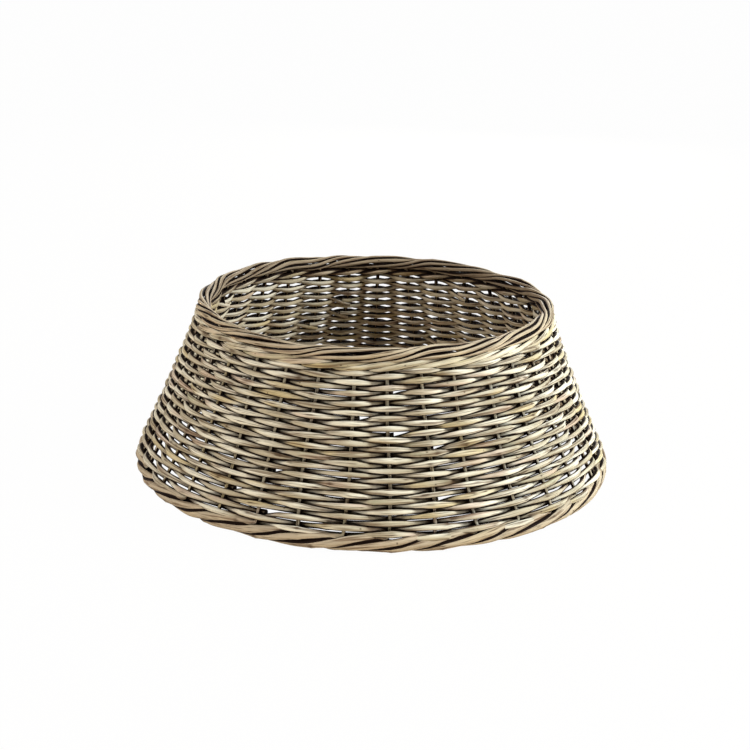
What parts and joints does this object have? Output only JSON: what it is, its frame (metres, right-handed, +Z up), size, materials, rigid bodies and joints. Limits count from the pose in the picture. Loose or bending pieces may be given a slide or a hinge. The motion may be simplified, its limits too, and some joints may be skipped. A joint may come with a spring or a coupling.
{
  "type": "christmas tree collar",
  "caption": "Round splayed collar of woven willow rods, open at the top and the bottom, that stands on the floor round a christmas tree's stand.",
  "frame": {"origin": "centre of the foot border, on the floor", "axes": "+Z up along the collar's axis, -Y is the front as pictured"},
  "size_m": [0.6975, 0.6972, 0.254],
  "materials": {
    "stake_willow": "weathered, grey-washed willow, matt",
    "weaver_willow": "weathered, grey-washed willow, matt",
    "wale_willow": "weathered, grey-washed willow, matt"
  },
  "bodies": {
    "root": {"stake_01": "stake_willow", "stake_02": "stake_willow", "stake_03": "stake_willow", "stake_04": "stake_willow", "stake_05": "stake_willow", "stake_06": "stake_willow", "stake_07": "stake_willow", "stake_08": "stake_willow", "stake_09": "stake_willow", "stake_10": "stake_willow", "stake_11": "stake_willow", "stake_12": "stake_willow", "stake_13": "stake_willow", "stake_14": "stake_willow", "stake_15": "stake_willow", "stake_16": "stake_willow", "stake_17": "stake_willow", "stake_18": "stake_willow", "stake_19": "stake_willow", "stake_20": "stake_willow", "stake_21": "stake_willow", "stake_22": "stake_willow", "stake_23": "stake_willow", "stake_24": "stake_willow", "stake_25": "stake_willow", "stake_26": "stake_willow", "stake_27": "stake_willow", "stake_28": "stake_willow", "stake_29": "stake_willow", "stake_30": "stake_willow", "stake_31": "stake_willow", "stake_32": "stake_willow", "stake_33": "stake_willow", "weaver_01": "weaver_willow", "weaver_02": "weaver_willow", "weaver_03": "weaver_willow", "weaver_04": "weaver_willow", "weaver_05": "weaver_willow", "weaver_06": "weaver_willow", "weaver_07": "weaver_willow", "weaver_08": "weaver_willow", "weaver_09": "weaver_willow", "weaver_10": "weaver_willow", "weaver_11": "weaver_willow", "weaver_12": "weaver_willow", "weaver_13": "weaver_willow", "weaver_14": "weaver_willow", "weaver_15": "weaver_willow", "weaver_16": "weaver_willow", "weaver_17": "weaver_willow", "weaver_18": "weaver_willow", "weaver_19": "weaver_willow", "weaver_20": "weaver_willow", "weaver_21": "weaver_willow", "weaver_22": "weaver_willow", "weaver_23": "weaver_willow", "weaver_24": "weaver_willow", "wale_rod_1": "wale_willow", "wale_rod_2": "wale_willow", "wale_rod_3": "wale_willow"}
  },
  "joints": []
}
